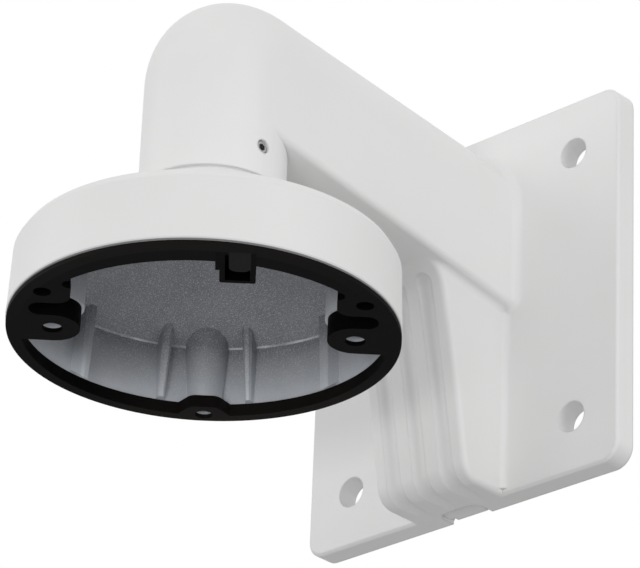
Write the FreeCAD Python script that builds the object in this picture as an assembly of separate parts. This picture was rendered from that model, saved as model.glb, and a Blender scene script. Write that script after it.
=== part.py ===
"""Wall bracket for a small dome camera: a hollow cast arm on a square wall plate, a drop cap screwed into the
arm's nose and locked by a grub screw, and a moulded mounting ring in the cap's mouth.

Millimetres, +Z up. The wall is the plane y = 0, the bracket reaches out towards -Y, and the origin is the
centre of the four wall bolts on the plate's back face.
"""
import FreeCAD
import Part
import math
import os

V = FreeCAD.Vector

# Wall plate
plate_width = 120.0
plate_height = 122.0
plate_depth = 7.0
plate_corner_r = 6.0
plate_edge = 0.8
plate_skin = 3.2
plate_rim = 4.4
bolt_pitch_x = 85.6
bolt_pitch_z = 86.6
bolt_hole_d = 9.5
bolt_boss_d = 19.0

# Arm and nose, one half-round-topped section bent down at the front
reach = 114.2
arm_r = 20.9
arm_wall = 3.4
arm_axis_rise = 32.9
arm_slope = 4.6
elbow_r = 9.5
corner_cut = 3.4
floor_rise = -2.1
floor_slope = 7.6
floor_edge_r = 2.0
root_r = 3.0

# Gusset under the arm, with three shallow flutes down its front
gusset_width = 34.6
gusset_foot = 23.0
gusset_knee = 28.9
gusset_knee_rise = 32.0
gusset_head = 36.0
gusset_toe_r = 6.5
gusset_head_r = 9.0
gusset_edge_r = 1.8
gusset_blend_r = 2.0
gusset_wall = 3.3
flute_count = 3
flute_pitch = 10.0
flute_width = 5.4
flute_depth = 1.5
flute_top_gap = 4.4
flute_toe_turn = 72.0
flute_toe_steps = 4

# Knock-out in the plate's bottom wall
knockout_width = 15.0
knockout_reach = 7.4
knockout_depth = 0.9
knockout_skin = 1.1
knockout_notch = 1.5

# Drop cap
seat_drop = 46.1
cap_turn = 44.3
cap_r = 55.0
cap_flare = 2.2
cap_side_top = 22.8
cap_edge = 1.5
cap_wall = 3.0
cap_top_wall = 2.2
roof_wall = 2.7
collar_r = 20.2
collar_top = 43.0
collar_height = 0.65
rim_rise = 1.3
rim_chamfer = 0.9

# Threaded spigot of the cap, up inside the nose
spigot_r = 16.3
spigot_bore_r = 12.5
spigot_length = 17.0
spigot_chamfer = 1.0
thread_gap = 0.15
lock_rise = 9.3
lock_turn = -3.4
lock_seat_depth = 1.0
lock_seat_r = 2.3

# Grub screw
screw_r = 2.0
screw_gap = 0.05
screw_sink = 0.6
screw_key = 2.0
screw_key_depth = 2.2
screw_chamfer = 0.3

# Camera screw posts inside the cap and the rail ribs beside them
far_post_inset = 4.3
near_post_inset = 5.5
near_post_turn = 27.55
post_r = 6.4
post_foot_r = 4.9
post_thread_r = 2.1
post_thread_depth = 12.0
ear_inset = 13.1
ear_shift = -1.2
ear_post_r = 8.6
ear_spigot_r = 6.5
ear_thread_r = 2.6
ear_thread_depth = 14.0
rib_foot_t = 1.9
rib_head_t = 3.0
rib_spread = 14.5
rib_depth_head = 6.0
rib_depth_foot = 2.6
rib_foot = 4.0
rib_draft = 0.5
rib_nose = 0.45
brace_foot_t = 3.0
brace_head_t = 3.8
brace_angle = 45.6
brace_depth = 5.2
brace_foot = 1.3
brace_gap = 0.5
roof_blend = 0.6

# Mounting ring in the cap's mouth
ring_inset = 0.2
ring_fit = 0.2
ring_height = 3.7
ring_web = 3.5
near_web_inset = 2.0
near_web_shift = 7.6
lobe_inner = 7.6
lobe_far_side = 6.6
lobe_corner_r = 4.2
lobe_notch_r = 2.1
lobe_notch_offset = 5.0
ear_r = 7.8
ear_height = 6.4
ear_floor = 1.3
ear_hole_d = 5.8
post_hole_d = 5.0
slot_end_inset = 10.9
slot_end_r = 3.95
far_lobe_reach = 5.2
far_lobe_half = 3.9
far_lobe_root = 9.2
far_lobe_blend = 3.0

# Snap latch moulded on the ring's near side
latch_u = 9.1
latch_width = 9.8
latch_reach = 12.2
latch_height = 5.6
latch_shoulder = 1.1
latch_shoulder_reach = 5.0
latch_wall = 1.5
tongue_u = 9.7
tongue_width = 5.9
tongue_reach = 5.6
tongue_thickness = 1.5
latch_window = 5.4

# Values worked out from the sizes above
arm_angle = math.radians(arm_slope)
floor_angle = math.radians(floor_slope)
elbow_turn = 90.0 + arm_slope
nose_low = collar_top - seat_drop
corner_rise = arm_axis_rise + reach * math.tan(arm_angle)
bend_rise = corner_rise - elbow_r * math.tan(math.radians(elbow_turn) / 2)
bend_centre = V(0, elbow_r - reach, bend_rise)
arm_dir = V(0, math.cos(arm_angle), -math.sin(arm_angle))
plate_low = -plate_height / 2
inner_r = arm_r - arm_wall
bore_r = spigot_r + thread_gap
cap_top_r = cap_r - cap_flare
ring_r = cap_r - ring_inset
ring_inner_r = ring_r - ring_web
near_web_r = cap_r - near_web_inset
near_post_u = (cap_r - near_post_inset) * math.cos(math.radians(near_post_turn))
near_post_v = -(cap_r - near_post_inset) * math.sin(math.radians(near_post_turn))
far_post_v = cap_r - far_post_inset
ear_place = cap_r - ear_inset
lobe_edge = near_post_u - lobe_inner
lobe_far = near_post_v + lobe_far_side
roof_slope = (collar_top - collar_height - cap_side_top) / (cap_top_r - collar_r)
roof_angle = math.atan(roof_slope)
roof_drop = roof_wall / math.cos(roof_angle)
wall_r_low = cap_r - cap_wall
wall_r_top = cap_top_r - cap_top_wall
far = 400.0


def floor_height(y):
    """Height of the arm's underside at depth y."""
    return floor_rise - y * math.tan(floor_angle)


def side_view(x):
    """Placing of a (y, z) outline in the plane at x."""
    return lambda a, b: V(x, a, b)


def plan_view(z):
    """Placing of an (x, y) outline in the plane at z."""
    return lambda a, b: V(a, b, z)


def front_view(y):
    """Placing of an (x, z) outline in the plane at y."""
    return lambda a, b: V(a, y, b)


def rounded_face(points, radii, place):
    """Face inside straight runs through the points, each corner rounded by its own radius."""
    corners = []
    for i, (a, b) in enumerate(points):
        corner = V(a, b, 0)
        back = V(points[i - 1][0], points[i - 1][1], 0) - corner
        ahead = points[(i + 1) % len(points)]
        forth = V(ahead[0], ahead[1], 0) - corner
        back.normalize()
        forth.normalize()
        if radii[i] == 0:
            corners.append((corner, corner, corner))
            continue
        half = back.getAngle(forth) / 2
        middle = (back + forth).normalize()
        start = corner + back * (radii[i] / math.tan(half))
        end = corner + forth * (radii[i] / math.tan(half))
        top = corner + middle * (radii[i] / math.sin(half) - radii[i])
        corners.append((start, top, end))
    edges = []
    for i, (start, top, end) in enumerate(corners):
        if radii[i]:
            arc = Part.Arc(place(start.x, start.y), place(top.x, top.y), place(end.x, end.y))
            edges.append(arc.toShape())
        following = corners[(i + 1) % len(corners)][0]
        if (following - end).Length > 1e-6:
            edges.append(Part.LineSegment(place(end.x, end.y), place(following.x, following.y)).toShape())
    return Part.Face(Part.Wire(edges))


def block(points, radii, place, along):
    """Solid from a rounded outline pushed along a vector."""
    return rounded_face(points, radii, place).extrude(along)


def turned(points, radii=None):
    """Solid of revolution about the Z axis from (radius, height) points."""
    face = rounded_face(points, radii or [0] * len(points), front_view(0))
    return face.revolve(V(0, 0, 0), V(0, 0, 1), 360)


def post(radius, low, high, u, v):
    """Upright cylinder at (u, v)."""
    return Part.makeCylinder(radius, high - low, V(u, v, low))


def on_cap_axis(shape):
    """Moves a shape from the cap's own frame, ring face down at z = 0, to its turned place under the nose."""
    shape = shape.copy()
    shape.rotate(V(0, 0, 0), V(0, 0, 1), cap_turn)
    shape.translate(V(0, -reach, -seat_drop))
    return shape


def half_bend(bend_r, radius, centre, turn):
    """Outer half of a round bar's bend, from straight up over towards +Y, by the turn in degrees."""
    bar = Part.makeTorus(bend_r, radius, V(0, 0, 0), V(0, 0, 1), -90, 90, turn)
    bar.rotate(V(0, 0, 0), V(0, 1, 0), -90)
    bar.rotate(V(0, 0, 0), V(1, 0, 0), 90)
    bar.translate(centre)
    return bar


def bar_between(start, end, radius):
    """Round bar from one point to another."""
    along = end - start
    return Part.makeCylinder(radius, along.Length, start, along)


def arm_form(radius, lift, nose_from, back, bent=True):
    """Arm and nose as one body: nose, bend or cut corner, half-round top and a flat-sided box below it."""
    if bent:
        turn_end = bend_centre + V(0, math.sin(arm_angle), math.cos(arm_angle)) * elbow_r
        nose_top = bend_rise
        start = [(-reach, bend_rise), (bend_centre.y, bend_rise), (turn_end.y, turn_end.z)]
    else:
        turn_end = V(0, -reach, corner_rise) + arm_dir * corner_cut
        nose_top = corner_rise - corner_cut
        start = [(-reach, nose_top), (turn_end.y, turn_end.z)]
    axis_at_back = turn_end.z - (back - turn_end.y) * math.tan(arm_angle)
    side = [(-reach, floor_height(-reach) + lift)] + start
    side += [(back, axis_at_back), (back, floor_height(back) + lift)]
    box = block(side, [0] * len(side), side_view(-radius), V(2 * radius, 0, 0))
    lower = [edge for edge in box.Edges
             if edge.Length > reach / 2 and abs(abs(edge.CenterOfMass.x) - radius) < 0.01
             and edge.CenterOfMass.z < floor_height(-reach / 2) + lift + 1]
    box = box.makeFillet(floor_edge_r, lower)
    pieces = [post(radius, nose_from, nose_top, 0, -reach),
              bar_between(turn_end, turn_end + arm_dir * (reach + 2 * arm_r), radius)]
    if bent:
        pieces.append(half_bend(elbow_r, radius, bend_centre, elbow_turn))
    form = box.multiFuse(pieces)
    keep = Part.makeBox(far, far + back, 2 * far, V(-far / 2, -far, -far))
    return form.common(keep).removeSplitter()


def gusset_side(inset):
    """Side outline of the gusset, drawn in by its wall for the hollow behind it."""
    low = plate_low + (plate_rim if inset else 0)
    head_y = -gusset_head + inset
    top = floor_height(head_y) + (arm_wall + 1 if inset else 0)
    points = [(1 if inset else 0, low), (-gusset_foot + inset, low),
              (-gusset_knee + inset, plate_low + gusset_knee_rise), (head_y, top)]
    if inset:
        return points + [(1, top)], [0, gusset_toe_r - inset, 0, 0, 0]
    shoulder = head_y - 2 * gusset_head_r
    inside_arm = floor_height(0) + arm_r
    points += [(shoulder, floor_height(shoulder)), (shoulder, inside_arm), (0, inside_arm)]
    return points, [0, gusset_toe_r, 4 * gusset_knee_rise, gusset_head_r, 0, 0, 0]


def gusset_form():
    """Outer body of the gusset with its front corners rounded."""
    half = gusset_width / 2
    points, radii = gusset_side(0)
    body = block(points, radii, side_view(-half), V(gusset_width, 0, 0))
    front = [edge for edge in body.Edges
             if abs(abs(edge.CenterOfMass.x) - half) < 0.01
             and plate_low + 1 < edge.CenterOfMass.z < floor_height(-gusset_head) - 2
             and edge.CenterOfMass.y < -gusset_foot / 2]
    return body.makeFillet(gusset_edge_r, front)


def flute_cutters():
    """Round-nosed cutters that run down the gusset's front, round its toe, and lift out underneath."""
    radius = (flute_width ** 2 / 4 + flute_depth ** 2) / (2 * flute_depth)
    out = radius - flute_depth
    lean = math.atan2(gusset_knee - gusset_foot, gusset_knee_rise)
    head_rise = floor_height(-gusset_head) - plate_low - gusset_knee_rise
    head_lean = math.atan2(gusset_head - gusset_knee, head_rise)
    away = V(0, -math.cos(lean), -math.sin(lean))
    toe_run = gusset_toe_r * math.tan((math.pi / 2 - lean) / 2)
    toe_start = V(0, -gusset_foot - toe_run * math.sin(lean), plate_low + toe_run * math.cos(lean))
    toe_centre = toe_start - away * gusset_toe_r
    knee = V(0, -gusset_knee, plate_low + gusset_knee_rise) + away * out
    head_run = (floor_height(-gusset_head) - flute_top_gap - knee.z) / math.cos(head_lean)
    path = [knee + V(0, -math.sin(head_lean), math.cos(head_lean)) * head_run, knee]
    for i in range(flute_toe_steps + 1):
        turn = lean + math.radians(flute_toe_turn) * i / flute_toe_steps
        path.append(toe_centre + V(0, -math.cos(turn), -math.sin(turn)) * (gusset_toe_r + out))
    path.append(path[-1] + V(0, math.sin(turn), -math.cos(turn)) * 2 * gusset_toe_r)
    pieces = [Part.makeSphere(radius, path[0]), Part.makeSphere(radius, knee)]
    pieces += [bar_between(start, end, radius) for start, end in zip(path, path[1:])]
    cutters = []
    for i in range(flute_count):
        for piece in pieces:
            cutter = piece.copy()
            cutter.translate(V((i - (flute_count - 1) / 2) * flute_pitch, 0, 0))
            cutters.append(cutter)
    return cutters


def plate_form():
    """Front body of the wall plate with rounded corners and a chamfered front edge."""
    w, h = plate_width / 2, plate_height / 2
    outline = [(-w, -h), (w, -h), (w, h), (-w, h)]
    body = block(outline, [plate_corner_r] * 4, front_view(-plate_depth), V(0, plate_depth, 0))
    rim = [edge for edge in body.Edges if abs(edge.CenterOfMass.y + plate_depth) < 0.01]
    return body.makeChamfer(plate_edge, rim)


def edges_where(shape, test):
    """Edges of a shape whose end points all pass a test."""
    return [edge for edge in shape.Edges if all(test(end.Point) for end in edge.Vertexes)]


def rooted_arm():
    """Plate and arm with the concave blend all round the arm's root."""
    body = plate_form().fuse(arm_form(arm_r, 0, nose_low, -plate_depth / 2)).removeSplitter()
    root = edges_where(body, lambda p: abs(p.y + plate_depth) < 0.01 and abs(p.x) < arm_r + 0.01)
    root = [edge for edge in root if abs(edge.CenterOfMass.z) < plate_height / 2 - plate_corner_r]
    return body.makeFillet(root_r, root)


def braced_arm():
    """Arm and gusset with the concave blend where the gusset's sides meet the arm's underside."""
    half = gusset_width / 2
    body = arm_form(arm_r, 0, nose_low, -plate_depth / 2).fuse(gusset_form()).removeSplitter()
    sides = edges_where(body, lambda p: abs(abs(p.x) - half) < 0.01 and abs(p.z - floor_height(p.y)) < 0.05)
    return body.makeFillet(gusset_blend_r, [edge for edge in sides if edge.Length > gusset_blend_r])


def gusset_roots():
    """Concave strips that blend the gusset's two sides into the plate's front."""
    near, root = gusset_width / 2, -plate_depth
    run = 2 * gusset_blend_r
    profile = [(near - 1, root + 1), (near + run, root + 1), (near + run, root), (near, root),
               (near, root - run), (near - 1, root - run)]
    low = plate_low + gusset_edge_r
    rise = V(0, 0, floor_height(root) - low)
    strip = block(profile, [0, 0, 0, gusset_blend_r, 0, 0], plan_view(low), rise)
    return [strip, strip.mirror(V(0, 0, 0), V(1, 0, 0))]


def bolt_places():
    """Centres of the four wall bolts."""
    return [(sx * bolt_pitch_x / 2, sz * bolt_pitch_z / 2) for sx in (-1, 1) for sz in (-1, 1)]


def plate_hollow():
    """Hollow in the plate's back inside its rim, leaving a round boss at each wall bolt."""
    w, h = plate_width / 2 - plate_rim, plate_height / 2 - plate_rim
    outline = [(-w, -h), (w, -h), (w, h), (-w, h)]
    corner = max(plate_corner_r - plate_rim, 1.0)
    depth = plate_depth - plate_skin
    hollow = block(outline, [corner] * 4, front_view(-depth), V(0, depth + 1, 0))
    bosses = [Part.makeCylinder(bolt_boss_d / 2, depth + 2, V(x, -depth - 0.5, z), V(0, 1, 0))
              for x, z in bolt_places()]
    return hollow.cut(bosses)


def knockout_cuts():
    """Shallow pocket outside, thinned wall inside and a snap notch each side, in the plate's bottom wall."""
    half = knockout_width / 2
    corner = knockout_reach / 2
    outline = [(-half, -knockout_reach), (half, -knockout_reach), (half, 1), (-half, 1)]
    pocket = block(outline, [corner, corner, 0, 0], plan_view(plate_low - 1), V(0, 0, 1 + knockout_depth))
    inner = half - knockout_notch
    low = plate_low + knockout_depth + knockout_skin
    deep = plate_depth - plate_skin
    thinned = Part.makeBox(2 * inner, deep + 1, plate_rim, V(-inner, -deep, low))
    cuts = [pocket, thinned]
    for side in (-1, 1):
        mouth = knockout_notch * 0.6
        x = side * (half - mouth)
        top = plate_low + knockout_depth
        notch = [(x - mouth, plate_low - 1), (x + mouth, plate_low - 1), (x + mouth, top),
                 (x, top + knockout_notch), (x - mouth, top)]
        cuts.append(block(notch, [0] * 5, front_view(-knockout_notch), V(0, knockout_notch + 1, 0)))
    return cuts


def at_lock(shape):
    """Turns a shape made along +X from the nose's axis to the grub screw's place."""
    shape = shape.copy()
    shape.rotate(V(0, 0, 0), V(0, 0, 1), lock_turn)
    shape.translate(V(0, -reach, nose_low + lock_rise))
    return shape


def wall_arm():
    """Casting of plate, arm, nose and gusset, hollow from the wall to the nose for the cable."""
    outer = rooted_arm().multiFuse([braced_arm()] + gusset_roots()).removeSplitter()
    outer = outer.cut(flute_cutters())

    hollow_side, hollow_radii = gusset_side(gusset_wall)
    half = gusset_width / 2 - gusset_wall
    gusset_hollow = block(hollow_side, hollow_radii, side_view(-half), V(2 * half, 0, 0))
    thread_top = nose_low + spigot_length + spigot_chamfer
    cable_way = arm_form(inner_r, arm_wall, thread_top, 1, bent=False)
    thread_bore = post(bore_r, nose_low - 1, thread_top + 1, 0, -reach)
    bolts = [Part.makeCylinder(bolt_hole_d / 2, 3 * plate_depth, V(x, -2 * plate_depth, z), V(0, 1, 0))
             for x, z in bolt_places()]
    screw_way = at_lock(Part.makeCylinder(screw_r + screw_gap, arm_r, V(bore_r / 2, 0, 0), V(1, 0, 0)))
    cuts = [cable_way, gusset_hollow, thread_bore, plate_hollow(), screw_way] + bolts + knockout_cuts()
    return outer.cut(cuts)


def roof_height(radius, drop=0):
    """Height of the cap's conical roof at a radius, outside, or inside with a drop."""
    return cap_side_top + (cap_top_r - radius) * roof_slope - drop


def wall_radius(height):
    """Radius of the cap's inner wall at a height."""
    return wall_r_low + (wall_r_top - wall_r_low) * (height - rim_rise) / (cap_side_top - rim_rise)


def cap_hollow():
    """Open inside of the cap, before its posts and ribs are left standing in it."""
    junction = roof_height(wall_r_top - roof_blend, roof_drop)
    points = [(0, -1), (wall_r_low, -1), (wall_r_low, rim_rise), (wall_r_top, junction - roof_blend),
              (wall_r_top - roof_blend, junction),
              (spigot_bore_r, roof_height(spigot_bore_r, roof_drop)),
              (spigot_bore_r, collar_top + spigot_length + 1), (0, collar_top + spigot_length + 1)]
    return turned(points)


def cap_envelope():
    """Outside of the cap: flared side, softened edge, conical roof, collar and the chamfered spigot."""
    top = collar_top + spigot_length
    points = [(0, rim_rise), (cap_r - rim_chamfer, rim_rise), (cap_r, rim_rise + rim_chamfer),
              (cap_top_r, cap_side_top - cap_edge), (cap_top_r - cap_edge, roof_height(cap_top_r - cap_edge)),
              (collar_r, roof_height(collar_r)), (collar_r, collar_top), (spigot_r, collar_top),
              (spigot_r, top - spigot_chamfer), (spigot_r - spigot_chamfer, top), (0, top)]
    return turned(points)


def post_places():
    """Centres of the three camera screw posts: one far, two near."""
    return [(0, far_post_v), (near_post_u, near_post_v), (-near_post_u, near_post_v)]


def cap_rib(angle, foot_t, head_t, foot_depth, head_depth, low):
    """One upright rib on the cap's inner wall, with a chamfered nose, from its foot up into the roof."""
    high = roof_height(wall_r_top - head_depth)
    slope = (head_depth - foot_depth + wall_r_low - wall_r_top) / (cap_side_top - rib_foot)
    back = wall_r_low + 1
    sections = []
    for z in (low, high):
        share = (z - rib_foot) / (cap_side_top - rib_foot)
        front = wall_r_low - foot_depth - slope * (z - rib_foot)
        half = (foot_t + (head_t - foot_t) * share) / 2
        side = [(back, half + rib_draft), (front + half * (1 - rib_nose), half), (front, half * rib_nose)]
        outline = side + [(u, -v) for u, v in reversed(side)] + side[:1]
        sections.append(Part.makePolygon([V(u, v, z) for u, v in outline]))
    rib = Part.makeLoft(sections, True, True)
    rib.rotate(V(0, 0, 0), V(0, 0, 1), angle)
    return rib


def cap_ribs():
    """Thin ribs beside the screw posts, and two braces whose sloping feet reach down inside the ring."""
    near = math.degrees(math.atan2(near_post_v, near_post_u))
    thin = [90 - rib_spread, 90 + rib_spread, near - rib_spread, 180 - near + rib_spread]
    ribs = [cap_rib(angle, rib_foot_t, rib_head_t, rib_depth_foot, rib_depth_head, rib_foot)
            for angle in thin]
    nose_r = wall_r_low - brace_depth
    ramp = (ring_height + brace_gap - brace_foot) / (ring_inner_r - brace_gap - nose_r)
    run = cap_r + 1 - nose_r
    below = turned([(nose_r - 1, brace_foot - ramp), (nose_r - 1, brace_foot - ramp - 1),
                    (cap_r + 1, brace_foot - ramp - 1), (cap_r + 1, brace_foot + ramp * run)])
    for side in (-1, 1):
        angle = 90 + side * brace_angle
        brace = cap_rib(angle, brace_foot_t, brace_head_t, brace_depth, brace_depth, brace_foot)
        ribs.append(brace.cut(below))
    return ribs


def cap_posts():
    """Drafted screw posts on the bolt circle, and the stepped posts that drop into the ring's ears."""
    high = collar_top
    posts = []
    draft = post_r + (post_r - post_foot_r) * (high - cap_side_top) / (cap_side_top - ring_height)
    for u, v in post_places():
        posts.append(Part.makeCone(post_foot_r, draft, high - ring_height, V(u, v, ring_height)))
    for side in (-1, 1):
        u = side * ear_place
        web = Part.makeBox(wall_r_low - ear_place, ear_post_r, high - ear_height,
                           V(min(u, side * wall_r_low), ear_shift - ear_post_r / 2, ear_height))
        posts += [post(ear_post_r, ear_height, high, u, ear_shift), web,
                  post(ear_spigot_r, ear_floor, high, u, ear_shift)]
    return posts


def cap():
    """Drop cap casting in its own frame, moved under the nose at the end."""
    hollow = cap_hollow().cut(cap_posts() + cap_ribs())
    body = cap_envelope().cut(hollow)
    holes = []
    for u, v in post_places():
        holes.append(post(post_thread_r, ring_height - 1, ring_height + post_thread_depth, u, v))
    for side in (-1, 1):
        top = ear_floor + ear_thread_depth
        holes.append(post(ear_thread_r, ear_floor - 1, top, side * ear_place, ear_shift))
    seat_place = V(spigot_r - lock_seat_depth, 0, 0)
    seat = Part.makeCylinder(lock_seat_r, lock_seat_depth + 1, seat_place, V(1, 0, 0))
    return on_cap_axis(body.cut(holes)).cut(at_lock(seat))


def ring_opening():
    """Opening through the ring: a wide far side, a flatter near web, and the lobes and ears left standing."""
    near_disc = post(near_web_r, -1, far / 10, 0, near_web_shift)
    opening = post(ring_inner_r, -1, far / 10, 0, 0).common(near_disc)
    outside = cap_r + 5
    slot_u = cap_r - slot_end_inset
    far_lobe_tip = far_post_v - far_lobe_reach
    keep = []
    for side in (-1, 1):
        lobe = [(side * lobe_edge, -outside), (side * lobe_edge, lobe_far), (side * outside, lobe_far),
                (side * outside, -outside)]
        keep.append(block(lobe, [0, lobe_corner_r, 0, 0], plan_view(-1), V(0, 0, far / 10)))
        ear_u = side * ear_place
        bar = [(ear_u, ear_shift - ear_r), (ear_u, ear_shift + ear_r), (side * outside, ear_shift + ear_r),
               (side * outside, ear_shift - ear_r)]
        keep.append(block(bar, [0] * 4, plan_view(-1), V(0, 0, far / 10)))
        keep.append(post(ear_r, -1, far / 10 - 1, ear_u, ear_shift))
        root = [(side * slot_u, lobe_far), (side * slot_u, ear_shift - ear_r),
                (side * outside, ear_shift - ear_r), (side * outside, lobe_far)]
        slot_v = (lobe_far + ear_shift - ear_r) / 2
        neck = block(root, [0] * 4, plan_view(-1), V(0, 0, far / 10))
        keep.append(neck.cut(post(slot_end_r, -2, far / 10 + 1, side * slot_u, slot_v)))
    beyond = ring_inner_r + 2
    far_lobe = [(-far_lobe_root, beyond), (-far_lobe_half, far_lobe_tip),
                (far_lobe_half, far_lobe_tip), (far_lobe_root, beyond)]
    keep.append(block(far_lobe, [0, far_lobe_blend, far_lobe_blend, 0], plan_view(-1), V(0, 0, far / 10)))
    return opening.cut(keep)


def latch():
    """Snap latch, clear of the cap's wall: an open box inwards of the near web, and a spring tongue."""
    web = near_web_shift - near_web_r
    low = latch_u - latch_width / 2
    root = web - latch_window
    end = web + latch_reach
    outline = [(low, root), (low + latch_width, root), (low + latch_width, end), (low, end)]
    blend = latch_wall / 2
    shell = block(outline, [0, 0, blend, blend], plan_view(0), V(0, 0, latch_height))
    shoulder = Part.makeBox(2 * latch_shoulder, latch_shoulder_reach + latch_wall, latch_height - latch_wall,
                            V(low - latch_shoulder, web - latch_wall, 0))
    inside = Part.makeBox(latch_width - 2 * latch_wall, end - root - 2 * latch_wall, latch_height,
                          V(low + latch_wall, root + latch_wall, -latch_wall))
    half = tongue_width / 2
    tip = web + tongue_reach
    left, right = tongue_u - half, tongue_u + half
    outline = [(left, root), (right, root), (right, tip), (left, tip)]
    tongue = block(outline, [0, 0, half * 0.8, half * 0.8], plan_view(0), V(0, 0, tongue_thickness))
    tooth_place = V(tongue_u - half / 2, tip - 2 * latch_wall, tongue_thickness)
    tooth = Part.makeBox(half, latch_wall, latch_wall, tooth_place)
    room = post(wall_radius(latch_height) - ring_fit, 0, latch_height, 0, 0)
    room = room.fuse(post(ring_r, 0, rim_rise, 0, 0))
    return shell.fuse(shoulder).cut(inside).multiFuse([tongue, tooth]).common(room)


def mounting_ring():
    """Moulded ring: lip under the cap's rim, web with lobes and cup-shaped ears, and the snap latch."""
    plug_r = min(wall_radius(rim_rise), wall_radius(ring_height)) - ring_fit
    body = post(plug_r, 0, ring_height, 0, 0).fuse(post(ring_r, 0, rim_rise, 0, 0)).cut(ring_opening())
    ears, pockets = [], []
    for side in (-1, 1):
        u = side * ear_place
        ears.append(post(ear_r, 0, ear_height, u, ear_shift))
        pockets.append(post(ear_spigot_r + ring_fit, ear_floor, ear_height + 1, u, ear_shift))
        pockets.append(post(ear_hole_d / 2, -1, ear_height, u, ear_shift))
        notch_v = near_post_v - lobe_notch_offset
        pockets.append(post(lobe_notch_r, -1, ring_height + 1, side * lobe_edge, notch_v))
    for u, v in post_places():
        pockets.append(post(post_hole_d / 2, -1, ring_height + 1, u, v))
    window_place = V(latch_u - latch_width / 2, near_web_shift - near_web_r - latch_window, -ring_height / 2)
    window = Part.makeBox(latch_width, latch_window + 2, 2 * ring_height, window_place)
    body = body.multiFuse(ears).cut(pockets + [window]).fuse(latch()).removeSplitter()
    return on_cap_axis(body)


def lock_screw():
    """Hexagon-socket grub screw in the nose, its tip in the spigot's spot-drilled seat."""
    tip = spigot_r - lock_seat_depth
    end = arm_r - screw_sink
    body = Part.makeCylinder(screw_r, end - tip, V(tip, 0, 0), V(1, 0, 0))
    rims = [edge for edge in body.Edges if edge.Closed]
    body = body.makeChamfer(screw_chamfer, rims)
    corner_r = screw_key / math.sqrt(3)
    corners = [V(end - screw_key_depth, corner_r * math.sin(math.radians(60 * i)),
                 corner_r * math.cos(math.radians(60 * i))) for i in range(7)]
    socket = Part.Face(Part.makePolygon(corners)).extrude(V(screw_key_depth + 1, 0, 0))
    return at_lock(body.cut(socket))


def main():
    """Writes each piece to its own file and prints its measures."""
    os.makedirs("parts", exist_ok=True)
    pieces = {"wall_arm": wall_arm, "drop_cap": cap, "mounting_ring": mounting_ring, "lock_screw": lock_screw}
    for name, build in pieces.items():
        shape = build()
        solids = shape.Solids
        print(name, len(solids), "solid, valid", shape.isValid(), round(shape.Volume / 1000, 2), "cm3")
        solid = solids[0] if len(solids) == 1 else shape
        solid.exportStep(os.path.join("parts", name + ".step"))


main()
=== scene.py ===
"""Looks of the camera wall bracket: powder-coated castings with a bare inside, black moulded ring, steel screw."""
import math

import bmesh
import bpy
import numpy as np
from mathutils import Matrix, Vector


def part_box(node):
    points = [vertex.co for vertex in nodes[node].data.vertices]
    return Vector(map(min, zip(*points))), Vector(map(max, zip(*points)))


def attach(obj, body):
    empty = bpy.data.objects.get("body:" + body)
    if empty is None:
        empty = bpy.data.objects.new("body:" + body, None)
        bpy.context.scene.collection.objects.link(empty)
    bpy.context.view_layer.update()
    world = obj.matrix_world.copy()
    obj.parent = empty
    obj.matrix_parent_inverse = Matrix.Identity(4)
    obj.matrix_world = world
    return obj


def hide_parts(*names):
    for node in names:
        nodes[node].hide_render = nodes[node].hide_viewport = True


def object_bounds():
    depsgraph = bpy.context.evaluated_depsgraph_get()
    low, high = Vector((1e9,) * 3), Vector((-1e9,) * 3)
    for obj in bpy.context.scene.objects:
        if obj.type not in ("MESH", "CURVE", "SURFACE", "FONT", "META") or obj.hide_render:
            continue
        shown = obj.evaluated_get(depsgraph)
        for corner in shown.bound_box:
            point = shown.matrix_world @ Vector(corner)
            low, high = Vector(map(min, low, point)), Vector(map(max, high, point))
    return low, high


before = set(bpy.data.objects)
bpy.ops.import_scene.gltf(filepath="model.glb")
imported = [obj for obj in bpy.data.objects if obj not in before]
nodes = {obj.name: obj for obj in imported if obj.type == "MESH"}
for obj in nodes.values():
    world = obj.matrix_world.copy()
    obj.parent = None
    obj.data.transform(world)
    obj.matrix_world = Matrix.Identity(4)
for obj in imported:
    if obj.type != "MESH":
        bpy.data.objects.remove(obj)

cad_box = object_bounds()
mm = 0.001

# Ring's place and radius read from the frame, in metres: the cap's axis and mouth are the ring's
ring_low, ring_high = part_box("mounting_ring")
cap_x = (ring_low.x + ring_high.x) / 2
cap_y = (ring_low.y + ring_high.y) / 2
mouth_z = ring_low.z
ring_r = (ring_high.x - ring_low.x) / 2

# The cap's wall, between its outside and inside faces, above the mouth
wall_mid_r = 53.5 * mm
wall_lean = 0.079
roof_mid_z = 21.9 * mm
roof_mid_r = 51.7 * mm
roof_slope = 0.60

# Corner of the cap's wall and roof inside, where a painted highlight line runs; its trimmed rim, pale bare metal
# up to pale_rim and a darker grey, partly painted shade of the chamfer, up to bare_rim; and its bare spigot
corner_r = 50.3 * mm
corner_z = 21.0 * mm
bare_rim = 1.95 * mm
pale_rim = 1.6 * mm
spigot_r = 17.6 * mm
collar_z = 43.1 * mm

# Ring's lip and far side, made paler with painted sheen: the lip's width, and the far side as shares of east and
# north
lip_width = 3.6 * mm
far_side = (-0.5, 0.85)

# Ring's latch, painted near black as shade in its slot, and its tongue, painted paler as sheen, in the cap's
# turned plan: least and most u, then least and most v
cap_turn = math.radians(44.3)
latch_area = (3.1 * mm, 14.1 * mm, -50.8 * mm, -33.0 * mm)
tongue_area = (6.75 * mm, 12.65 * mm, -50.8 * mm, -39.7 * mm)

# Gap that is joined up, size of a dropped sliver, turn that counts as an edge, and radius of a coated edge
weld_gap = 0.002 * mm
sliver = 0.001 * mm
edge_turn = math.radians(28)
edge_round = 0.9 * mm

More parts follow.
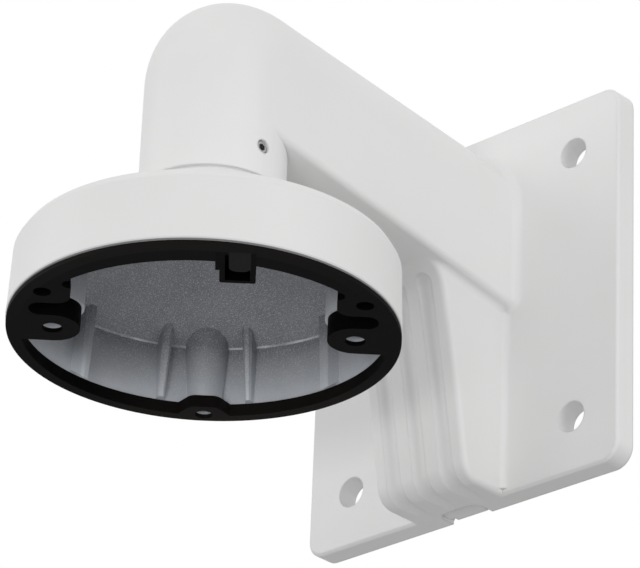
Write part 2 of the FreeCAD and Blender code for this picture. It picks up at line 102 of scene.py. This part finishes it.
# Fits of the dressed shapes to the photograph's outline: the arm's, then the cap's
arm_half = 26.0 * mm
arm_still_z = 8.0 * mm
arm_moving_z = 34.0 * mm
plate_front = -9.0 * mm
plate_shoulder = 57.5 * mm
nose_front = -135.1 * mm
bend_end = -98.0 * mm
arm_settle = 1.85 * mm
side_foot = 2.8 * mm
side_height = 22.8 * mm
shoulder_r = 52.8 * mm
collar_r = 20.2 * mm
shoulder_fill = 1.6 * mm

# Camera of the photograph: heading, height and roll in degrees, distances in metres
photo_width = 640
photo_focus_px = 3991.539
view_heading = 43.945
view_rise = -27.161
view_roll = 2.398
view_distance = 1176.567 * mm
view_across = -45.444 * mm
view_up = 55.307 * mm
view_origin_z = -46.085 * mm

# Studio: lamps as name, place, size and power, all turned to the middle, with the world's fill and the floor
lamps = (
    ("key", (0.8, -1.8, -0.75), 0.8, 11.0),
    ("side_fill", (2.0, -0.25, 0.25), 1.0, 9.0),
    ("left_fill", (-1.4, -1.4, 0.8), 1.4, 8.0),
)
middle = (0.0, -0.06, 0.0)
world_fill = 0.66
floor_drop = 0.8
floor_half = 6.0


class Signal:
    """A shader socket that adds up, multiplies and compares like a number, adding Math nodes as it goes."""

    def __init__(self, paint, socket):
        self.paint = paint
        self.socket = socket

    def math(self, operation, *others):
        values = dict(enumerate((self,) + others))
        return self.paint.add("ShaderNodeMath", {"operation": operation}, values)

    def __add__(self, other):
        return self.math("ADD", other)

    def __radd__(self, other):
        return self.math("ADD", other)

    def __sub__(self, other):
        return self.math("SUBTRACT", other)

    def __rsub__(self, other):
        return self.paint.add("ShaderNodeMath", {"operation": "SUBTRACT"}, {0: other, 1: self})

    def __mul__(self, other):
        return self.math("MULTIPLY", other)

    def __truediv__(self, other):
        return self.math("DIVIDE", other)

    def __lt__(self, other):
        return self.math("LESS_THAN", other)

    def __gt__(self, other):
        return self.math("GREATER_THAN", other)

    def clamp(self):
        return self.paint.add("ShaderNodeClamp", {}, {0: self})

    def root(self):
        return self.math("SQRT")


class Paint:
    """A node material: add() makes any node, sets it up, fills its sockets and hands back one output."""

    def __init__(self, name):
        self.material = bpy.data.materials.new(name)
        self.material.use_nodes = True
        self.tree = self.material.node_tree
        self.tree.nodes.clear()

    def add(self, kind, settings=None, values=None, out=0):
        node = self.tree.nodes.new(kind)
        for key, value in (settings or {}).items():
            if key == "stops":
                self.set_stops(node.color_ramp, value)
            else:
                setattr(node, key, value)
        for key, value in (values or {}).items():
            socket = node.inputs[key]
            if isinstance(value, Signal):
                self.tree.links.new(value.socket, socket)
            else:
                socket.default_value = value
        return Signal(self, node.outputs[out]) if node.outputs else node

    @staticmethod
    def set_stops(ramp, stops):
        while len(ramp.elements) < len(stops):
            ramp.elements.new(1.0)
        for element, (place, shade) in zip(ramp.elements, stops):
            element.position = place
            element.color = (shade, shade, shade, 1.0)

    def place(self):
        """Object coordinates: the place on the part, in metres."""
        return self.add("ShaderNodeTexCoord", out="Object")

    def split(self, vector):
        """The three numbers of a vector."""
        self.add("ShaderNodeSeparateXYZ", {}, {0: vector})
        node = self.tree.nodes[-1]
        return [Signal(self, socket) for socket in node.outputs]

    def noise(self, where, size, detail=2.0, roughness=0.5):
        """Noise from 0 to 1 whose lumps are about size metres across."""
        values = {"Vector": where, "Scale": 1.0 / size, "Detail": detail, "Roughness": roughness}
        return self.add("ShaderNodeTexNoise", {}, values)

    def ramp(self, signal, *stops):
        """Signal passed through a grey ramp of (place, shade) stops."""
        return self.add("ShaderNodeValToRGB", {"stops": stops}, {0: signal})

    def blend(self, amount, first, second):
        """Colour between two colours."""
        settings = {"data_type": "RGBA"}
        return self.add("ShaderNodeMix", settings, {0: amount, 6: first, 7: second}, out=2)

    def bump(self, height, depth, strength=1.0, normal=None):
        """Normal of a surface raised by a height signal times depth metres."""
        values = {"Strength": strength, "Distance": depth, "Height": height}
        if normal:
            values["Normal"] = normal
        return self.add("ShaderNodeBump", {}, values)

    def finish(self, **values):
        """Principled surface with the given sockets, as the material's output."""
        named = {key.replace("_", " "): value for key, value in values.items()}
        surface = self.add("ShaderNodeBsdfPrincipled", {}, named)
        self.add("ShaderNodeOutputMaterial", {}, {"Surface": surface})
        return self.material


def grey(value, warm=0.0):
    """Linear colour of a grey, a touch warmer or cooler."""
    return (value * (1 + warm), value, value * (1 - warm), 1.0)


def coat_layers(paint, where):
    """White powder coat: colour, roughness and the normal of its orange-peel skin."""
    broad = paint.noise(where, 60 * mm, 3.0)
    fine = paint.noise(where, 1.1 * mm, 2.0)
    grain = paint.noise(where, 0.45 * mm, 1.0)
    patchy = paint.ramp(broad, (0.35, 0.0), (0.65, 1.0))
    colour = paint.blend(patchy, grey(0.80, 0.006), grey(0.825, 0.002))
    roughness = 0.42 + fine * 0.10
    rounded = paint.add("ShaderNodeBevel", {"samples": 6}, {"Radius": edge_round})
    normal = paint.bump(fine * 0.7 + grain * 0.3, 0.035 * mm, 0.55, rounded)
    return colour, roughness, normal


def from_cap_axis(paint, where):
    """Place from the cap's axis and mouth: distances east and north, radius, and height."""
    x, y, z = paint.split(where)
    east = x - cap_x
    north = y - cap_y
    return east, north, (east * east + north * north).root(), z - mouth_z


def white_coat():
    """Powder coat of the arm casting."""
    paint = Paint("white_powder_coat")
    colour, roughness, normal = coat_layers(paint, paint.place())
    return paint.finish(Base_Color=colour, Roughness=roughness, Normal=normal, Specular_IOR_Level=0.4)


def cap_finish():
    """Powder coat outside the cap, and bare die casting inside it, on its spigot and along its trimmed rim.
    Painted light makes the inner wall paler towards the mouth, a painted highlight line marks the corner between
    wall and roof, and the rim's darker band above its pale foot is partly painted shade."""
    paint = Paint("cap_casting")
    where = paint.place()
    east, north, radius, height = from_cap_axis(paint, where)
    inside_wall = radius < wall_mid_r - height * wall_lean
    below_roof = height < roof_mid_z + (roof_mid_r - radius) * roof_slope
    spigot = (radius < spigot_r) * (height > collar_z)
    bare = (inside_wall * below_roof + spigot + (height < bare_rim)).clamp()

    coat_colour, coat_rough, coat_normal = coat_layers(paint, where)
    mottle = paint.noise(where, 9 * mm, 4.0, 0.6)
    speck = paint.noise(where, 0.5 * mm, 3.0, 0.7)
    spark = paint.ramp(paint.noise(where, 0.32 * mm, 2.0, 0.8), (0.52, 0.0), (0.72, 1.0))
    cast_base = paint.blend(mottle, (0.21, 0.22, 0.245, 1.0), (0.31, 0.32, 0.34, 1.0))
    cast_colour = paint.blend(spark, cast_base, (0.72, 0.74, 0.78, 1.0))
    # Painted light: the inner wall paler low down, towards the mouth, fading out up the wall
    mouth_light = paint.ramp(height / (20 * mm) + (mottle - 0.5) * 0.3, (0.1, 1.0), (1.05, 0.0))
    cast_colour = paint.blend(mouth_light, cast_colour, (0.83, 0.86, 0.90, 1.0))
    # Painted highlight: a bright line along the corner of the inner wall and roof
    outwards, upwards = radius - corner_r, height - corner_z
    off_line = (outwards * outwards + upwards * upwards).root()
    corner_highlight = (off_line < 0.32 * mm) * paint.ramp(mottle, (0.40, 0.15), (0.60, 0.7))
    cast_colour = paint.blend(corner_highlight, cast_colour, (0.92, 0.93, 0.95, 1.0))
    # Trimmed rim: pale bare metal at its foot, and above that a darker grey that is partly painted shade of the
    # chamfer
    trimmed = (radius > wall_mid_r) * (height < bare_rim)
    rim_metal_and_shade = paint.blend(height > pale_rim, grey(0.60), grey(0.32))
    cast_colour = paint.blend(trimmed, cast_colour, rim_metal_and_shade)
    cast_rough = 0.38 + speck * 0.25
    cast_normal = paint.bump(speck * 0.7 + mottle * 0.6, 0.10 * mm, 0.6)

    painted = paint.add("ShaderNodeBsdfPrincipled", {}, {
        "Base Color": coat_colour, "Roughness": coat_rough, "Normal": coat_normal, "Specular IOR Level": 0.4})
    metal = paint.add("ShaderNodeBsdfPrincipled", {}, {
        "Base Color": cast_colour, "Roughness": cast_rough, "Normal": cast_normal,
        "Metallic": 0.2, "Specular IOR Level": 0.3})
    surface = paint.add("ShaderNodeMixShader", {}, {0: bare, 1: painted, 2: metal})
    paint.add("ShaderNodeOutputMaterial", {}, {"Surface": surface})
    return paint.material


def black_plastic():
    """Satin black moulding with a faint spark-eroded grain; painted sheen makes its near lip, far side and spring
    tongue paler, and painted shade makes the latch's slot near black.
    """
    paint = Paint("black_plastic")
    where = paint.place()
    grain = paint.noise(where, 0.35 * mm, 2.0, 0.6)
    drift = paint.noise(where, 14 * mm, 2.0)
    colour = paint.blend(drift, (0.0022, 0.0020, 0.0020, 1.0), (0.0038, 0.0034, 0.0034, 1.0))
    east, north, radius = from_cap_axis(paint, where)[:3]
    along = (east * far_side[0] + north * far_side[1]) / ring_r
    # Painted sheen: paler towards the far side and along the near lip
    far_sheen = paint.ramp(along + (drift - 0.5) * 0.2, (0.5, 0.0), (1.0, 1.0))
    lip_sheen = (radius > ring_r - lip_width) * paint.ramp(0.0 - along, (0.2, 0.0), (1.0, 0.6))
    colour = paint.blend((far_sheen + lip_sheen).clamp(), colour, (0.013, 0.0115, 0.0105, 1.0))
    u = east * math.cos(cap_turn) + north * math.sin(cap_turn)
    v = north * math.cos(cap_turn) - east * math.sin(cap_turn)
    # Painted shade: the latch box near black; painted sheen: the tongue paler
    for area, shade in ((latch_area, 0.0003), (tongue_area, 0.016)):
        within = (u > area[0]) * (u < area[1]) * (v > area[2]) * (v < area[3])
        colour = paint.blend(within, colour, grey(shade))
    roughness = 0.50 + drift * 0.10 + grain * 0.06
    normal = paint.bump(grain, 0.02 * mm, 0.5)
    return paint.finish(Base_Color=colour, Roughness=roughness, Normal=normal, Specular_IOR_Level=0.03)


def screw_steel():
    """Turned steel of the grub screw."""
    paint = Paint("screw_steel")
    where = paint.place()
    turned = paint.noise(where, 0.2 * mm, 2.0)
    colour = paint.blend(turned, (0.30, 0.30, 0.30, 1.0), (0.46, 0.46, 0.45, 1.0))
    return paint.finish(Base_Color=colour, Roughness=0.3 + turned * 0.15, Metallic=1.0)


def corner_normals(mesh, limit):
    """Normal of each corner of a triangle mesh: over the faces round its vertex that turn less than limit from
    the corner's own face, the sum of normal times area times corner angle. Flats stay flat beside their blends."""
    vertex = np.empty(len(mesh.loops), int)
    mesh.loops.foreach_get("vertex_index", vertex)
    place = np.empty(len(mesh.vertices) * 3)
    mesh.vertices.foreach_get("co", place)
    point = place.reshape(-1, 3)[vertex].reshape(-1, 3, 3)
    ahead = np.roll(point, -1, axis=1) - point
    behind = np.roll(point, 1, axis=1) - point
    cross = np.cross(ahead[:, 0], behind[:, 0])
    normal = cross / np.linalg.norm(cross, axis=1, keepdims=True)
    lengths = np.linalg.norm(ahead, axis=2) * np.linalg.norm(behind, axis=2)
    angle = np.arccos(np.clip((ahead * behind).sum(axis=2) / lengths, -1.0, 1.0))
    order = np.argsort(vertex, kind="stable")
    vertex = vertex[order]
    own = np.repeat(normal, 3, axis=0)[order]
    share = np.repeat(cross, 3, axis=0)[order] * angle.reshape(-1, 1)[order]
    total = share.copy()
    for step in range(1, np.bincount(vertex).max()):
        near = (vertex[step:] == vertex[:-step]) & ((own[step:] * own[:-step]).sum(axis=1) > math.cos(limit))
        total[step:][near] += share[:-step][near]
        total[:-step][near] += share[step:][near]
    result = np.empty_like(total)
    result[order] = total / np.linalg.norm(total, axis=1, keepdims=True)
    return result


def ease(amount):
    """Smooth step from 0 to 1: 3a^2 - 2a^3 of the amount held between 0 and 1."""
    amount = np.clip(amount, 0.0, 1.0)
    return amount * amount * (3.0 - 2.0 * amount)


def settle_arm(point):
    """Arm's top lowered to the photographed line: z falls by arm_settle times a smooth step of height and one of
    the way from nose_front to bend_end. The plate's face moves only round the arm, so the bolts stay."""
    x, y, z = point.T
    among = (np.abs(x) < arm_half) & ((y < plate_front) | (z < plate_shoulder))
    past_bend = ease((y - nose_front) / (bend_end - nose_front))
    up_arm = ease((z - arm_still_z) / (arm_moving_z - arm_still_z))
    drop = arm_settle * past_bend * up_arm * among
    return point - np.outer(drop, (0.0, 0.0, 1.0))


def fill_shoulder(point):
    """Cap's shoulder filled out to the photographed line: the outside moves outwards by shoulder_fill, in
    proportion to height up the side, and back to nothing along the roof where it meets the collar."""
    east, north = point[:, 0] - cap_x, point[:, 1] - cap_y
    height = point[:, 2] - mouth_z
    radius = np.maximum(np.hypot(east, north), 1e-9)
    past_wall = radius > wall_mid_r - height * wall_lean
    over_roof = height > roof_mid_z + (roof_mid_r - radius) * roof_slope
    up_side = np.clip((height - side_foot) / (side_height - side_foot), 0.0, 1.0)
    along_roof = np.clip((radius - collar_r) / (shoulder_r - collar_r), 0.0, 1.0)
    push = shoulder_fill * up_side * along_roof * (past_wall | over_roof) / radius
    return point + np.column_stack((east * push, north * push, np.zeros_like(push)))


def skin(node, material, fit=None):
    """Copy of a CAD node with its triangles joined up and shaded smooth, sharp where faces really meet at an
    edge, and its points moved by a fit function where one is given."""
    source = nodes[node].data
    mesh = bpy.data.meshes.new(node + "_skin")
    work = bmesh.new()
    work.from_mesh(source)
    bmesh.ops.remove_doubles(work, verts=work.verts, dist=weld_gap)
    bmesh.ops.dissolve_degenerate(work, edges=work.edges, dist=sliver)
    work.to_mesh(mesh)
    work.free()
    if fit:
        place = np.empty(len(mesh.vertices) * 3)
        mesh.vertices.foreach_get("co", place)
        mesh.vertices.foreach_set("co", fit(place.reshape(-1, 3)).ravel())
        mesh.update()
    mesh.polygons.foreach_set("use_smooth", np.ones(len(mesh.polygons), bool))
    mesh.normals_split_custom_set(corner_normals(mesh, edge_turn))
    mesh.materials.clear()
    mesh.materials.append(material)
    piece = bpy.data.objects.new(node + "_skin", mesh)
    bpy.context.scene.collection.objects.link(piece)
    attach(piece, "root")
    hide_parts(node)


def photo_camera():
    """Camera at the photograph's place, from its heading, rise and roll."""
    heading, rise, roll = (math.radians(value) for value in (view_heading, view_rise, view_roll))
    back = Vector((math.sin(heading) * math.cos(rise), -math.cos(heading) * math.cos(rise), math.sin(rise)))
    level = Vector((math.cos(heading), math.sin(heading), 0.0))
    upright = back.cross(level)
    across = math.cos(roll) * level + math.sin(roll) * upright
    up = math.cos(roll) * upright - math.sin(roll) * level
    lens = bpy.data.cameras.new("photo_camera")
    lens.sensor_width = 36.0
    lens.lens = photo_focus_px * lens.sensor_width / photo_width
    lens.clip_end = 100.0
    camera = bpy.data.objects.new("photo_camera", lens)
    place = back * view_distance + across * view_across + up * view_up + Vector((0.0, 0.0, view_origin_z))
    turn = Matrix((across, up, back)).transposed().to_4x4()
    camera.matrix_world = Matrix.Translation(place) @ turn
    bpy.context.scene.collection.objects.link(camera)
    bpy.context.scene.camera = camera


def studio_floor(drop, half):
    """Plain floor well below the part, pale to the camera and in reflections, greyer in the light it sends up."""
    paint = Paint("studio_floor")
    seen = paint.add("ShaderNodeLightPath", out="Is Camera Ray")
    mirrored = paint.add("ShaderNodeLightPath", out="Is Glossy Ray")
    colour = paint.blend((seen + mirrored).clamp(), grey(0.50), grey(0.80))
    surface = paint.add("ShaderNodeBsdfDiffuse", {}, {"Color": colour})
    paint.add("ShaderNodeOutputMaterial", {}, {"Surface": surface})
    low = cad_box[0][2] - drop
    corners = [(-half, -half, low), (half, -half, low), (half, half, low), (-half, half, low)]
    mesh = bpy.data.meshes.new("studio_floor")
    mesh.from_pydata(corners, [], [(0, 1, 2, 3)])
    mesh.materials.append(paint.material)
    floor = bpy.data.objects.new("studio_floor", mesh)
    bpy.context.scene.collection.objects.link(floor)


def soft_lamp(name, place, target, size, power):
    """Square area lamp at a place, turned to its target."""
    light = bpy.data.lights.new(name, "AREA")
    light.shape = "SQUARE"
    light.size = size
    light.energy = power
    lamp = bpy.data.objects.new(name, light)
    lamp.location = place
    lamp.rotation_euler = (Vector(target) - Vector(place)).to_track_quat("-Z", "Y").to_euler()
    lamp.visible_camera = False
    bpy.context.scene.collection.objects.link(lamp)


def studio_world(fill):
    """White to the camera and in reflections, a plain fill for everything else."""
    world = bpy.data.worlds.new("studio")
    world.use_nodes = True
    tree = world.node_tree
    tree.nodes.clear()
    rays = tree.nodes.new("ShaderNodeLightPath")
    seen = rays.outputs["Is Camera Ray"]
    for kind in ("Is Transmission Ray", "Is Glossy Ray"):
        either = tree.nodes.new("ShaderNodeMath")
        either.operation = "MAXIMUM"
        tree.links.new(seen, either.inputs[0])
        tree.links.new(rays.outputs[kind], either.inputs[1])
        seen = either.outputs[0]
    strength = tree.nodes.new("ShaderNodeMapRange")
    strength.inputs["To Min"].default_value = fill
    strength.inputs["To Max"].default_value = 1.0
    tree.links.new(seen, strength.inputs["Value"])
    background = tree.nodes.new("ShaderNodeBackground")
    background.inputs["Color"].default_value = (1.0, 1.0, 1.0, 1.0)
    tree.links.new(strength.outputs[0], background.inputs["Strength"])
    output = tree.nodes.new("ShaderNodeOutputWorld")
    tree.links.new(background.outputs[0], output.inputs[0])
    bpy.context.scene.world = world


def main():
    """Dresses every node, then sets out the studio."""
    skin("wall_arm", white_coat(), settle_arm)
    skin("drop_cap", cap_finish(), fill_shoulder)
    skin("mounting_ring", black_plastic())
    skin("lock_screw", screw_steel())
    photo_camera()
    studio_floor(floor_drop, floor_half)
    studio_world(world_fill)
    for name, place, size, power in lamps:
        soft_lamp(name, place, middle, size, power)
    bpy.context.scene.view_settings.view_transform = "Standard"


main()
